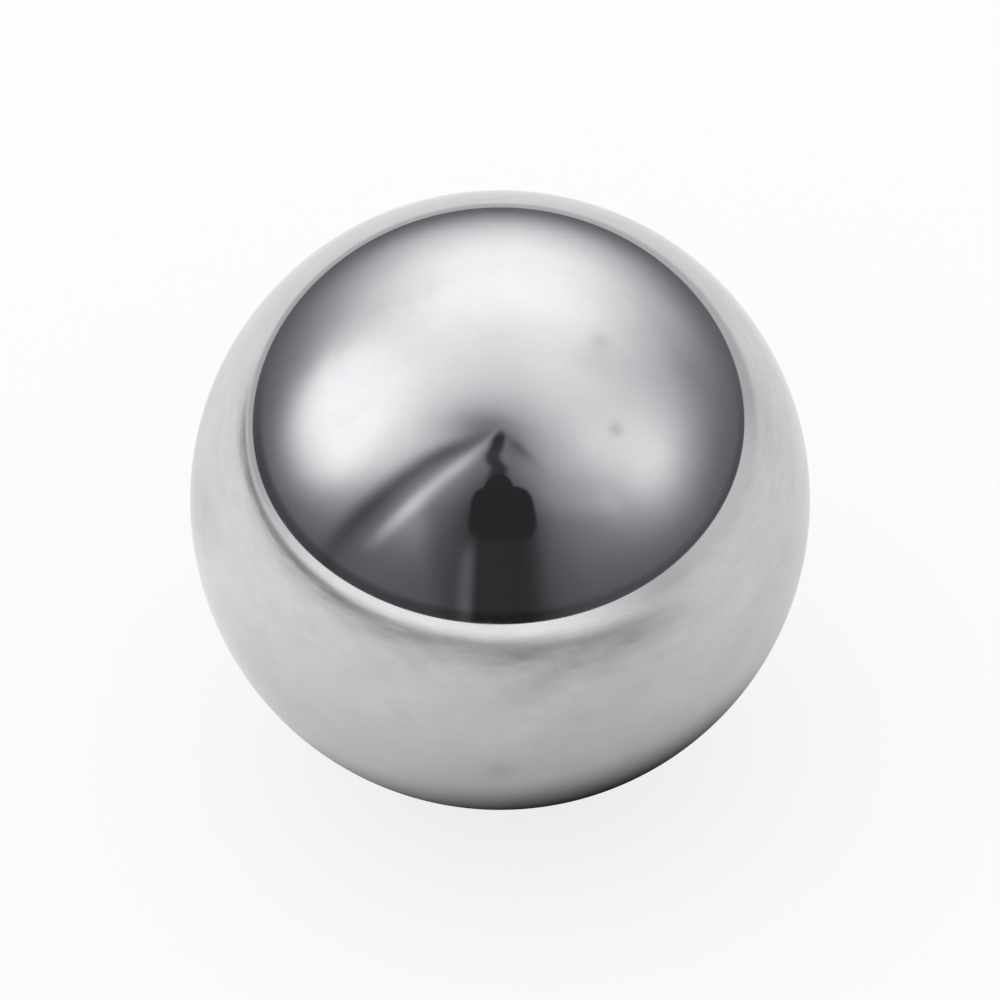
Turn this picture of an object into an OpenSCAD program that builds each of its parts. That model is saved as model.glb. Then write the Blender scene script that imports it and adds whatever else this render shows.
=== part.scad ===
// Loose steel ball: one solid, a true sphere with no seam, flat or bore.
// The origin is the centre of the ball, and +Z is up.

/* [Ball] */
// Diameter of the ball
ball_diameter = 10; // [1:0.5:50]

/* [Hidden] */
// Sides of the round outline in a preview
$fn = 128;

// The ball: its whole surface lies at one distance from the centre
module ball() {
    color("silver")
        sphere(d = ball_diameter);
}

ball();
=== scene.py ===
"""A polished steel ball on a pale floor, in the soft light of a small fabric tent."""

import math

import bmesh
import bpy
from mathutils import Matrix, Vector


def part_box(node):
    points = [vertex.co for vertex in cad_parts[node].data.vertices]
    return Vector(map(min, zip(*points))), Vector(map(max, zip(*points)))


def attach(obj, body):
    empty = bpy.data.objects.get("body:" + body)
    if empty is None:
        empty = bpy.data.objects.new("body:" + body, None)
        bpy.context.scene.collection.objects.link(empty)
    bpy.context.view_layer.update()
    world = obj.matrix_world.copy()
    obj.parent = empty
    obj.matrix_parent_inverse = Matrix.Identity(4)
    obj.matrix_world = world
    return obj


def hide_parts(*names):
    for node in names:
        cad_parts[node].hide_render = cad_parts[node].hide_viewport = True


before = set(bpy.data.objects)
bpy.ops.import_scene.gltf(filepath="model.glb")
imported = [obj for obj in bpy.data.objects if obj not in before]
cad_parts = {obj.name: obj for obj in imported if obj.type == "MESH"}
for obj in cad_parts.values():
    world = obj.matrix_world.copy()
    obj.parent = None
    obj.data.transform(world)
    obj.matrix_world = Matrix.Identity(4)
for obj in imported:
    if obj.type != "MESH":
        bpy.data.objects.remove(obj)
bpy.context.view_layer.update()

# The ball, from the frame, whose origin is the ball's centre
ball_low, ball_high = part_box("ball")
ball_centre = Vector((0, 0, 0))
ball_radius = (ball_high.z - ball_low.z) / 2
STEEL_SLOT = "polished_steel"

# The viewpoint: degrees above the horizon, distance, and how much of the picture's width the ball fills
VIEW_ELEVATION = 43
VIEW_DISTANCE = 84 * ball_radius
BALL_SHARE_OF_WIDTH = 0.62
SENSOR_WIDTH = 36


def heading(azimuth, elevation):
    """Unit vector by azimuth, 0 in front of the ball and 90 to its right, and elevation, in degrees."""
    azimuth = math.radians(azimuth)
    elevation = math.radians(elevation)
    level = math.cos(elevation)
    return Vector((level * math.sin(azimuth), -level * math.cos(azimuth), math.sin(elevation)))


# Shader formulas

SMALLEST_DIVISOR = 0.001


class Value:
    """A number that a shader works out at each point, so that formulas can be written with + - * /."""

    def __init__(self, tree, socket):
        self.tree = tree
        self.socket = socket

    def __add__(self, other):
        return calc("ADD", self, other)

    def __sub__(self, other):
        return calc("SUBTRACT", self, other)

    def __rsub__(self, other):
        return calc("SUBTRACT", other, self)

    def __mul__(self, other):
        return calc("MULTIPLY", self, other)

    def __truediv__(self, other):
        return calc("DIVIDE", self, other)

    def __rtruediv__(self, other):
        return calc("DIVIDE", other, self)

    def __pow__(self, other):
        return calc("POWER", self, other)

    def __neg__(self):
        return calc("MULTIPLY", self, -1)

    def __abs__(self):
        return calc("ABSOLUTE", self)

    __radd__ = __add__
    __rmul__ = __mul__


def feed(tree, socket, number):
    """Joins a Value to a socket, or sets the socket to a plain number."""
    if isinstance(number, Value):
        tree.links.new(number.socket, socket)
    else:
        socket.default_value = number


def calc(operation, *numbers):
    """One Math node on the given Values and plain numbers."""
    tree = next(n.tree for n in numbers if isinstance(n, Value))
    node = tree.nodes.new("ShaderNodeMath")
    node.operation = operation
    for socket, number in zip(node.inputs, numbers):
        feed(tree, socket, number)
    return Value(tree, node.outputs[0])


def ramp(value, low, high):
    """0 up to low, 1 from high on, and a smooth rise between them."""
    node = value.tree.nodes.new("ShaderNodeMapRange")
    node.interpolation_type = "SMOOTHSTEP"
    feed(value.tree, node.inputs["Value"], value)
    node.inputs["From Min"].default_value = low
    node.inputs["From Max"].default_value = high
    return Value(value.tree, node.outputs["Result"])


def fall(value, low, high):
    """1 up to low, 0 from high on, and a smooth fall between them."""
    return 1 - ramp(value, low, high)


def window(value, rise, end):
    """1 between a smooth rise and a smooth end, each given by its two values, and 0 outside them."""
    return ramp(value, *rise) * fall(value, *end)


def bell(value, width):
    """1 where value is 0, and fading to nothing on both sides over about the width."""
    return calc("EXPONENT", -((abs(value) / width) ** 2))


def hump(value, middle, width, amount):
    """The amount where value is at the middle, and fading to nothing on both sides over about the width."""
    return bell(value - middle, width) * amount


def length(*parts):
    """The length of a vector whose parts are given."""
    return calc("SQRT", sum(part * part for part in parts))


def mixed(first, second, share):
    """first where share is 0 and second where it is 1."""
    return first + (second - first) * share


def along(tree, vector_socket, axis):
    """How far a vector reaches along an axis."""
    node = tree.nodes.new("ShaderNodeVectorMath")
    node.operation = "DOT_PRODUCT"
    tree.links.new(vector_socket, node.inputs[0])
    node.inputs[1].default_value = axis
    return Value(tree, node.outputs["Value"])


def distance_to(tree, place_socket, point):
    """How far a place is from a point."""
    node = tree.nodes.new("ShaderNodeVectorMath")
    node.operation = "DISTANCE"
    tree.links.new(place_socket, node.inputs[0])
    node.inputs[1].default_value = point
    return Value(tree, node.outputs["Value"])


def noise(tree, vector_socket, scale, detail, roughness=0.5, distortion=0.0):
    """Cloudy noise around 0.5."""
    node = tree.nodes.new("ShaderNodeTexNoise")
    tree.links.new(vector_socket, node.inputs["Vector"])
    node.inputs["Scale"].default_value = scale
    node.inputs["Detail"].default_value = detail
    node.inputs["Roughness"].default_value = roughness
    node.inputs["Distortion"].default_value = distortion
    return Value(tree, node.outputs["Fac"])


def uneven(noise_value, spread):
    """A factor that noise moves round 1, as far apart as the spread."""
    return 1 - spread / 2 + noise_value * spread


def tinted(tree, share, dark, light):
    """A colour between two, by a Value."""
    node = tree.nodes.new("ShaderNodeMix")
    node.data_type = "RGBA"
    feed(tree, node.inputs["Factor"], share)
    node.inputs["A"].default_value = (*dark, 1)
    node.inputs["B"].default_value = (*light, 1)
    return node.outputs["Result"]


def light_path(tree, kind):
    """1 for rays of one kind, such as Camera or Glossy, and 0 for the others."""
    return tree.nodes.new("ShaderNodeLightPath").outputs["Is %s Ray" % kind]


def either(tree, share_socket, first, second):
    """The first shader where the share is 0 and the second where it is 1."""
    node = tree.nodes.new("ShaderNodeMixShader")
    tree.links.new(share_socket, node.inputs["Fac"])
    tree.links.new(first, node.inputs[1])
    tree.links.new(second, node.inputs[2])
    return node.outputs[0]


# The light round the ball, in brightness where 1 is white paper. Here and below, a _RISE holds the two
# values between which a thing comes up, and an _END the two between which it fades. A _SHADE is the share
# of light that a thing takes. Fabric levels off at its brightest, more sharply with a higher number.

WALL_LIGHT = 0.28
ROOF_LIGHT = 0.36
LOW_WALL_LIGHT = 0.167
LOW_WALL_END = (-0.12, 0.536)
BRIGHTEST_FABRIC = 1.59
BRIGHTEST_SHARPNESS = 5
GLOW_RISE = (0.0, 0.4)

# Each bright place of the fabric: azimuth, elevation, width, height and brightness. Lamps behind the fabric
# make the first three.
GLOWS = (
    (178, 57, 0.57, 0.92, 1.65),
    (-95, 34, 0.305, 0.36, 2.96),
    (75.5, 29, 0.335, 0.395, 0.73),
    (58, 51, 0.13, 0.16, 0.18),
    (138, 15, 0.14, 0.14, 0.09),
    (180, 11, 0.38, 0.16, 0.55),
    (-60, 48, 0.13, 0.22, 0.10),
    (-8, 76, 0.22, 0.055, 0.17),
)

# Each dim place: azimuth, elevation, width, height and the share of light it takes. The first is the
# unlit front.
SHADES = (
    (-2, 39, 0.433, 0.738, 0.92),
    (-13, 69.5, 0.24, 0.13, 0.47),
    (118, 20, 0.10, 0.16, 0.12),
    (114, 55, 0.14, 0.16, 0.10),
)


def glow(tree, ray, azimuth, elevation, width, height):
    """A soft round glow, 1 in the middle, of a half width and half height in shares of the distance."""
    middle = heading(azimuth, elevation)
    sideways = heading(azimuth + 90, 0)
    upwards = sideways.cross(middle)
    facing = ramp(along(tree, ray, middle), *GLOW_RISE)
    return bell(along(tree, ray, sideways), width) * bell(along(tree, ray, upwards), height) * facing


def tent_light(tree, ray):
    """The fabric all round: dim low walls, a brighter roof, and its bright and dim places."""
    upward = along(tree, ray, (0, 0, 1))
    light = upward * upward * ROOF_LIGHT + WALL_LIGHT
    for *place, brightness in GLOWS:
        light = light + glow(tree, ray, *place) * brightness
    excess = (light / BRIGHTEST_FABRIC) ** BRIGHTEST_SHARPNESS
    light = light / (excess + 1) ** (1 / BRIGHTEST_SHARPNESS)
    light = mixed(LOW_WALL_LIGHT, light, ramp(upward, *LOW_WALL_END))
    for *place, share in SHADES:
        light = light * (1 - glow(tree, ray, *place) * share)
    return light


# The front of the tent is drawn on a flat wall one unit ahead of the ball: across to the right, and height.
# A leaning line is given by where it crosses LEVEL, and by how far right it goes for each unit up. A hump
# is given by its middle, its width and its amount.

LEVEL = 1.5


def beside(across, height, line):
    """How far a place is to the right of a leaning line."""
    crossing, lean = line
    return across - crossing - (height - LEVEL) * lean


# The fold of the left flap, and its edge, which curves, bends, thins upwards and is dull at one height
FOLD_LINE = (-1.0, 0.72)
FOLD_WIDTH = 0.42
FOLD_RISE = (-0.6, 0.9)
FOLD_END = (1.75, 2.8)
FOLD_SHADE = 0.71
EDGE_LINE = (-0.475, 0.5)
EDGE_CURVE = 0.1
EDGE_BEND = (1.1, 0.25, 0.03)
EDGE_WIDTH = 0.135
EDGE_THINNING = 0.05
EDGE_THINNING_RISE = (1.5, 2.2)
EDGE_RISE = (0.2, 0.9)
EDGE_END = (0.6, 3.0)
EDGE_DULL = (1.2, 0.2, 0.22)
EDGE_LIGHT = 0.57

# The dim cloth low in the middle, the light cloth at the edge's foot, and a pale tape beside the stand
DIM_LINE = (-0.94, -0.36)
DIM_RISE = (-0.08, 0.12)
DIM_RIGHT_END = (0.1, 0.7)
DIM_TOP_END = (0.3, 1.3)
DIM_SHADE = 0.25
FOOT_ACROSS = (-0.73, 0.17, 0.1)
FOOT_HEIGHT = (0.62, 0.2, 1.0)
TAPE_ACROSS = (-0.22, 0.05, 0.08)
TAPE_END = (0.35, 0.6)


def left_flap(light, across, height):
    """The left flap turns away from its lamp, its folded edge catches light, and its lower part is dim."""
    fold = bell(beside(across, height, FOLD_LINE), FOLD_WIDTH) * window(height, FOLD_RISE, FOLD_END)
    light = light * (1 - fold * FOLD_SHADE)
    dim = ramp(beside(across, height, DIM_LINE), *DIM_RISE)
    dim = dim * fall(across, *DIM_RIGHT_END) * fall(height, *DIM_TOP_END)
    light = light * (1 - dim * DIM_SHADE)

    level = height - LEVEL
    offset = beside(across, height, EDGE_LINE) + level * level * EDGE_CURVE + hump(height, *EDGE_BEND)
    edge = bell(offset, EDGE_WIDTH - ramp(height, *EDGE_THINNING_RISE) * EDGE_THINNING)
    edge = edge * window(height, EDGE_RISE, EDGE_END) * (1 - hump(height, *EDGE_DULL))
    light = light + edge * EDGE_LIGHT
    light = light + hump(across, *FOOT_ACROSS) * hump(height, *FOOT_HEIGHT)
    return light + hump(across, *TAPE_ACROSS) * fall(height, *TAPE_END)


# The lighter part of the right flap
RIGHT_FLAP_HEIGHT = (0.88, 0.22, 0.22)
RIGHT_FLAP_RISE = (0.2, 0.5)
RIGHT_FLAP_END = (1.1, 1.5)


def right_flap(light, across, height):
    """The right flap is a little lighter beside the camera."""
    return light * (1 + hump(height, *RIGHT_FLAP_HEIGHT) * window(across, RIGHT_FLAP_RISE, RIGHT_FLAP_END))


# The crease to the right of the slit, and the shaded hollow round it
CREASE_LINE = (0.4025, -0.345)
CREASE_WIDTH = 0.1
CREASE_HEIGHT = (1.92, 0.4, 0.38)
HOLLOW_ACROSS = (0.2, 0.17, 0.27)
HOLLOW_HEIGHT = (1.85, 0.35, 1.0)

# The slit between the flaps: its middle, its bends to the left, and its top, which leans right and tapers
SLIT_LIGHT = 0.055
SLIT_ACROSS = -0.03
SLIT_BENDS = (
    (1.68, 0.22, 0.06),
    (1.42, 0.10, -0.03),
)
SLIT_LEAN = 0.05
SLIT_LEAN_RISE = (2.0, 2.6)
SLIT_TAPER = 0.08
SLIT_TAPER_RISE = (2.2, 2.8)
SLIT_SIDE_END = (0.04, 0.15)
SLIT_TOP_END = (2.25, 2.8)
SLIT_GREY = (1.68, 0.2, 0.09)


def slit(light, across, height):
    """The dark slit between the flaps, with a crease on its right."""
    crease = bell(beside(across, height, CREASE_LINE), CREASE_WIDTH) * hump(height, *CREASE_HEIGHT)
    hollow = hump(across, *HOLLOW_ACROSS) * hump(height, *HOLLOW_HEIGHT)
    light = light * (1 - crease) * (1 - hollow)
    offset = across - SLIT_ACROSS - ramp(height, *SLIT_LEAN_RISE) * SLIT_LEAN
    for bend in SLIT_BENDS:
        offset = offset + hump(height, *bend)
    side = abs(offset) + ramp(height, *SLIT_TAPER_RISE) * SLIT_TAPER
    opening = fall(side, *SLIT_SIDE_END) * fall(height, *SLIT_TOP_END) * (1 - hump(height, *SLIT_GREY))
    return mixed(light, SLIT_LIGHT, opening)


# The camera in the slit: its body and its finder are rounded shapes, each given by its middle across and
# up, half width, half height and squareness
CAMERA_LIGHT = 0.037
CAMERA_BODY = (0.02, 0.82, 0.275, 0.3, 3.4)
CAMERA_BODY_END = (0.75, 1.25)
CAMERA_FINDER = (-0.01, 1.04, 0.145, 0.27, 2)
CAMERA_FINDER_END = (0.8, 1.2)
STAND_LIGHT = 0.046
STAND_RISE = (-0.19, -0.13)
STAND_END = (0.14, 0.36)
STAND_TOP_END = (0.6, 0.8)


def rounded(across, height, shape, end):
    """1 inside a rounded shape, and fading out across its outline, which is where the sum is 1."""
    middle_across, middle_height, half_width, half_height, squareness = shape
    sideways = (abs(across - middle_across) / half_width) ** squareness
    upwards = (abs(height - middle_height) / half_height) ** squareness
    return fall(sideways + upwards, *end)


def camera_on_stand(light, across, height):
    """A plain camera with a finder on top, on its stand."""
    stand = window(across, STAND_RISE, STAND_END) * fall(height, *STAND_TOP_END)
    light = mixed(light, STAND_LIGHT, stand)
    finder = rounded(across, height, CAMERA_FINDER, CAMERA_FINDER_END)
    body = rounded(across, height, CAMERA_BODY, CAMERA_BODY_END)
    return mixed(light, CAMERA_LIGHT, calc("MAXIMUM", finder, body))


# The fabric's faint clouds, where the flat front wall takes over, and the dark gap below the walls, which
# fades out behind the ball and is fainter on the right
FABRIC_CLOUDS = 0.08
FABRIC_CLOUD_SCALE = 2.5
FABRIC_CLOUD_DETAIL = 3
FRONT_RISE = (0.0, 0.15)
FRONT_HIGHEST = 8
GAP_END = (-0.02, 0.035)
GAP_FORWARD_RISE = (-0.8, -0.2)
GAP_SHADE = 0.45
GAP_FAINTER = 0.15
GAP_FAINTER_RISE = (0.15, 0.5)


def mirrored_tent(tree, ray):
    """The tent as the ball mirrors it, with the flaps in front and the dark gap below the walls."""
    clouds = noise(tree, ray, FABRIC_CLOUD_SCALE, FABRIC_CLOUD_DETAIL)
    light = tent_light(tree, ray) * uneven(clouds, FABRIC_CLOUDS)
    rightward = along(tree, ray, (1, 0, 0))
    upward = along(tree, ray, (0, 0, 1))
    forward = along(tree, ray, (0, -1, 0))
    depth = calc("MAXIMUM", forward, SMALLEST_DIVISOR)
    across = rightward / depth
    height = calc("MINIMUM", upward / depth, FRONT_HIGHEST)
    front = light
    for draw in (left_flap, right_flap, slit, camera_on_stand):
        front = draw(front, across, height)
    light = mixed(light, front, ramp(forward, *FRONT_RISE))
    gap = fall(upward, *GAP_END) * ramp(forward, *GAP_FORWARD_RISE)
    return light * (1 - gap * (GAP_SHADE - ramp(rightward, *GAP_FAINTER_RISE) * GAP_FAINTER))


PLAIN_BACKDROP = (0.98, 0.98, 0.98)
WHITE = (1.0, 1.0, 1.0)

# What the ball mirrors of the tent is faintly violet where it is dim
SHADED_TINT = (0.94, 0.925, 1.0)
LIT_TINT = (1.0, 0.998, 1.0)
TINT_RISE = (0.0, 1.2)

# The plain sky that lights the floor is brightest on one side
SKY_SIDE = heading(-120, 50)
SKY_SLOPE = 0.6


def background(tree, colour, strength):
    """A background shader, of a colour or of a colour socket."""
    node = tree.nodes.new("ShaderNodeBackground")
    if isinstance(colour, bpy.types.NodeSocket):
        tree.links.new(colour, node.inputs["Color"])
    else:
        node.inputs["Color"].default_value = (*colour, 1)
    feed(tree, node.inputs["Strength"], strength)
    return node.outputs[0]


def build_surroundings():
    """The ball mirrors the tent, a plain sky lights the floor, and the eye sees a plain wall."""
    world = bpy.data.worlds.new("light_tent")
    bpy.context.scene.world = world
    world.use_nodes = True
    world.cycles.sampling_method = "NONE"
    tree = world.node_tree
    tree.nodes.clear()
    ray = tree.nodes.new("ShaderNodeTexCoord").outputs["Generated"]

    light = mirrored_tent(tree, ray)
    tint = tinted(tree, ramp(light, *TINT_RISE), SHADED_TINT, LIT_TINT)
    mirrored = background(tree, tint, light)
    lighting = background(tree, WHITE, along(tree, ray, SKY_SIDE) * SKY_SLOPE + 1)
    seen = background(tree, PLAIN_BACKDROP, 1)
    around = either(tree, light_path(tree, "Glossy"), lighting, mirrored)
    around = either(tree, light_path(tree, "Camera"), around, seen)
    output = tree.nodes.new("ShaderNodeOutputWorld")
    tree.links.new(around, output.inputs["Surface"])


# The floor is a white light table with round corners, pale to the eye by its own glow. What the ball
# mirrors of it is a glow with painted light and a painted shadow of the ball. Places and reaches on it are
# in ball radii from the point under the ball. In a direction, side is how much of it goes right, and ahead
# how much goes forward.

FLOOR_LEFT = 23.5
FLOOR_RIGHT = 44.0
FLOOR_FRONT = 19.6
FLOOR_BEHIND = 29.0
FLOOR_SQUARENESS = 2.2
FLOOR_POINTS = 256
FLOOR_COLOUR = (0.14, 0.14, 0.14)
FLOOR_GLOW = 0.8
FLOOR_ROUGHNESS = 0.9

# The painted pool of even light that the ball stands in, with a ragged outline, and its painted brightness
# by direction
PATCH_RADIUS = 8.0
PATCH_LEFT = 2.2
PATCH_BEHIND = 2.2
PATCH_RAGGED = 0.35
PATCH_END = (1.05, 1.75)
PATCH_LIGHT = 0.885
PATCH_LIGHT_AT_SIDES = 0.115
PATCH_SHADE_RIGHT = 0.07
PATCH_SHADE_AHEAD = 0.015

# Large creases make the patch's outline and the line round it ragged, and the whole floor has finer clouds
FLOOR_CREASE_SCALE = 0.4
FLOOR_CREASE_DETAIL = 4
FLOOR_CREASE_ROUGHNESS = 0.6
FLOOR_CLOUDS = 0.26
FLOOR_CLOUD_SCALE = 1.1
FLOOR_CLOUD_DETAIL = 5
FLOOR_CLOUD_ROUGHNESS = 0.65

# The painted dim line round the patch: its place and width in shares of the patch, where it ends, and its
# depth, which is more on the left
LINE_PLACE = 1.03
LINE_WIDTH = 0.3
LINE_RIGHT_END = (0.6, 1.0)
LINE_AHEAD_RISE = (-0.75, -0.4)
LINE_SHADE = 0.43
LINE_SHADE_LEFT = 0.18
LINE_LEFT_RISE = (0.5, 1.0)
LINE_RAGGED = 0.6

# Beyond the patch, painted light makes the table brighter in front, a little to the left, and on the far
# right
BEYOND_LIGHT = 0.62
BEYOND_AHEAD = 0.94
BEYOND_LEFT = 0.34
BEYOND_RISE = (0.1, 0.9)
BEYOND_MORE = 0.66
FAR_RIGHT_RISE = (0.8, 1.0)
FAR_RIGHT_MORE = 0.2

# A painted dim place behind the ball on its left
DIM_BACK_LEFT_RISE = (0.8, 1.4)
DIM_BACK_RISE = (0.3, 1.1)
DIM_BACK_REACH = (1.9, 1.1, 0.13)

# The ball's own shadow, painted into the table's mirrored glow: middle, reaches, and the darkest part right
# under the ball
SHADE_RIGHT = 0.16
SHADE_FORWARD = 0.12
SHADE_REACH_ACROSS = 1.18
SHADE_REACH_BACK = 1.03
DARKEST_END = (0.3, 0.85)
DARKEST_LIGHT = 0.12


def painted_dim_line(patch, side, ahead, creases):
    """How much light the painted dim line round the patch takes."""
    line = bell(patch - LINE_PLACE, LINE_WIDTH)
    line = line * fall(side, *LINE_RIGHT_END) * ramp(ahead, *LINE_AHEAD_RISE)
    return line * (LINE_SHADE + ramp(-side, *LINE_LEFT_RISE) * LINE_SHADE_LEFT + creases * LINE_RAGGED)


def painted_ball_shadow(right, back):
    """How much of the floor's painted light is left beside and under the ball, in its painted shadow."""
    reach = length((right - SHADE_RIGHT) / SHADE_REACH_ACROSS, (back + SHADE_FORWARD) / SHADE_REACH_BACK)
    open_share = 1 - 1.0 / (reach * reach + 1) ** 2
    return open_share * mixed(DARKEST_LIGHT, 1.0, ramp(reach, *DARKEST_END))


def painted_mirrored_floor(tree, place):
    """How bright the ball mirrors the floor, all painted: a lit patch, the line round it, the rest, and the
    ball's shadow.
    """
    right = along(tree, place, (1 / ball_radius, 0, 0))
    back = along(tree, place, (0, 1 / ball_radius, 0))
    distance = calc("MAXIMUM", length(right, back), SMALLEST_DIVISOR)
    side = right / distance
    ahead = -back / distance
    light = PATCH_LIGHT + side * side * PATCH_LIGHT_AT_SIDES - side * PATCH_SHADE_RIGHT
    light = light - ahead * PATCH_SHADE_AHEAD

    crease_scale = FLOOR_CREASE_SCALE / ball_radius
    creases = noise(tree, place, crease_scale, FLOOR_CREASE_DETAIL, FLOOR_CREASE_ROUGHNESS) - 0.5
    patch = length(right + PATCH_LEFT, back - PATCH_BEHIND) / PATCH_RADIUS + creases * PATCH_RAGGED
    light = light * (1 - painted_dim_line(patch, side, ahead, creases))
    beyond = BEYOND_LIGHT + ramp(ahead * BEYOND_AHEAD - side * BEYOND_LEFT, *BEYOND_RISE) * BEYOND_MORE
    beyond = beyond + ramp(side, *FAR_RIGHT_RISE) * FAR_RIGHT_MORE
    light = mixed(light, beyond, ramp(patch, *PATCH_END))
    clouds = noise(tree, place, FLOOR_CLOUD_SCALE / ball_radius, FLOOR_CLOUD_DETAIL, FLOOR_CLOUD_ROUGHNESS)
    light = light * uneven(clouds, FLOOR_CLOUDS)

    dim = ramp(-right, *DIM_BACK_LEFT_RISE) * ramp(back, *DIM_BACK_RISE) * hump(distance, *DIM_BACK_REACH)
    return light * (1 - dim) * painted_ball_shadow(right, back)


def floor_material():
    """Matt, and pale to the eye by its own glow. The ball mirrors instead a glow with the tent's light and
    the ball's shadow painted in.
    """
    material = bpy.data.materials.new("light_table")
    material.use_nodes = True
    tree = material.node_tree
    seen = tree.nodes["Principled BSDF"]
    seen.inputs["Roughness"].default_value = FLOOR_ROUGHNESS
    seen.inputs["Specular IOR Level"].default_value = 0.0
    seen.inputs["Base Color"].default_value = (*FLOOR_COLOUR, 1)
    seen.inputs["Emission Color"].default_value = (*WHITE, 1)
    seen.inputs["Emission Strength"].default_value = FLOOR_GLOW
    # For mirror rays the floor is a glow whose strength is painted light and painted shade
    mirrored = tree.nodes.new("ShaderNodeEmission")
    place = tree.nodes.new("ShaderNodeTexCoord").outputs["Object"]
    feed(tree, mirrored.inputs["Strength"], painted_mirrored_floor(tree, place))
    surface = either(tree, light_path(tree, "Glossy"), seen.outputs[0], mirrored.outputs[0])
    tree.links.new(surface, tree.nodes["Material Output"].inputs["Surface"])
    return material


def build_floor():
    """One flat face at the ball's lowest point, with its own reach on each of the four sides."""
    outline = []
    for k in range(FLOOR_POINTS):
        angle = 2 * math.pi * k / FLOOR_POINTS
        across = math.cos(angle)
        back = math.sin(angle)
        squareness = FLOOR_SQUARENESS
        reach = (abs(across) ** squareness + abs(back) ** squareness) ** (-1 / squareness)
        across = across * reach * (FLOOR_RIGHT if across > 0 else FLOOR_LEFT)
        back = back * reach * (FLOOR_BEHIND if back > 0 else FLOOR_FRONT)
        outline.append((across * ball_radius, back * ball_radius, 0))
    mesh = bpy.data.meshes.new("floor")
    mesh.from_pydata(outline, [], [range(FLOOR_POINTS)])
    floor = bpy.data.objects.new("floor", mesh)
    floor.location.z = ball_low.z
    floor.data.materials.append(floor_material())
    bpy.context.collection.objects.link(floor)


# The ball's steel, by places on the ball in radii from its centre

STEEL_COLOUR = (0.605, 0.6, 0.616)
STAINED_COLOUR = (0.445, 0.44, 0.46)
STEEL_ROUGHNESS = 0.03

# The polish is uneven in three ways: noise scale, detail, roughness and distortion, the noise values
# between which each comes up, how much it stains, and how much it roughens
STEEL_CLOUD_NOISE = (1.6, 4, 0.6, 0.0)
STEEL_CLOUD_RISE = (0.3, 0.7)
STEEL_CLOUD_STAIN = 0.16
GRAIN_NOISE = (11, 3, 0.6, 0.0)
GRAIN_RISE = (0.35, 0.7)
GRAIN_STAIN = 0.10
GRAIN_ROUGHENS = 0.005
HAZE_NOISE = (3.2, 5, 0.65, 0.6)
HAZE_RISE = (0.56, 0.74)
HAZE_STAIN = 0.22
HAZE_ROUGHENS = 0.05

# Small marks on the steel: place in the main view in ball radii across and up, size, and how much
# they stain
SPOTS = (
    (0.32, 0.51, 0.030, 0.59),
    (0.37, 0.225, 0.026, 0.89),
    (0.00, -0.87, 0.050, 0.59),
)

FACES_PER_EDGE = 64


def facing_view(across, upward):
    """The ball's direction at a place in the main view, in ball radii across and upward from its middle."""
    towards_camera = heading(0, VIEW_ELEVATION)
    right = Vector((1, 0, 0))
    depth = math.sqrt(1 - across ** 2 - upward ** 2)
    return right * across + towards_camera.cross(right) * upward + towards_camera * depth


def steel_material():
    """Mirror-polished steel with faint clouds and haze in the polish, and a few small spots."""
    material = bpy.data.materials.new(STEEL_SLOT)
    material.use_nodes = True
    tree = material.node_tree
    shader = tree.nodes["Principled BSDF"]
    shader.inputs["Metallic"].default_value = 1.0

    scale = tree.nodes.new("ShaderNodeVectorMath")
    scale.operation = "SCALE"
    tree.links.new(tree.nodes.new("ShaderNodeTexCoord").outputs["Object"], scale.inputs[0])
    scale.inputs["Scale"].default_value = 1 / ball_radius
    place = scale.outputs[0]

    clouds = ramp(noise(tree, place, *STEEL_CLOUD_NOISE), *STEEL_CLOUD_RISE)
    grain = ramp(noise(tree, place, *GRAIN_NOISE), *GRAIN_RISE)
    haze = ramp(noise(tree, place, *HAZE_NOISE), *HAZE_RISE)
    stain = clouds * STEEL_CLOUD_STAIN + grain * GRAIN_STAIN + haze * HAZE_STAIN
    for across, upward, size, share in SPOTS:
        stain = stain + bell(distance_to(tree, place, facing_view(across, upward)), size) * share
    stain = calc("MINIMUM", stain, 1.0)
    colour = tinted(tree, stain, STEEL_COLOUR, STAINED_COLOUR)
    tree.links.new(colour, shader.inputs["Base Color"])
    roughness = STEEL_ROUGHNESS + grain * GRAIN_ROUGHENS + haze * HAZE_ROUGHENS
    feed(tree, shader.inputs["Roughness"], roughness)
    return material


def build_ball():
    """A cube of even square faces, blown up to the ball's true surface."""
    mesh = bpy.data.meshes.new("steel_ball")
    shape = bmesh.new()
    bmesh.ops.create_cube(shape, size=2)
    bmesh.ops.subdivide_edges(shape, edges=shape.edges[:], cuts=FACES_PER_EDGE - 1, use_grid_fill=True)
    for vertex in shape.verts:
        spread = Vector([math.tan(x * math.pi / 4) for x in vertex.co])
        vertex.co = ball_centre + spread.normalized() * ball_radius
    for face in shape.faces:
        face.smooth = True
    shape.to_mesh(mesh)
    shape.free()
    mesh.normals_split_custom_set_from_vertices([(v.co - ball_centre).normalized() for v in mesh.vertices])
    ball = bpy.data.objects.new("steel_ball", mesh)
    ball.data.materials.append(steel_material())
    bpy.context.collection.objects.link(ball)
    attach(ball, "root")
    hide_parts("ball")


def build_camera():
    """The camera looks at the ball's centre, near enough to give the ball its share of the width."""
    camera = bpy.data.objects.new("camera", bpy.data.cameras.new("camera"))
    bpy.context.collection.objects.link(camera)
    towards_camera = heading(0, VIEW_ELEVATION)
    camera.location = ball_centre + towards_camera * VIEW_DISTANCE
    camera.rotation_euler = (-towards_camera).to_track_quat("-Z", "Y").to_euler()
    half_width = ball_radius / VIEW_DISTANCE / BALL_SHARE_OF_WIDTH
    camera.data.sensor_width = SENSOR_WIDTH
    camera.data.lens = SENSOR_WIDTH / 2 / half_width
    camera.data.clip_start = ball_radius
    bpy.context.scene.camera = camera


build_camera()
build_floor()
build_ball()
build_surroundings()
bpy.context.scene.view_settings.view_transform = "Standard"
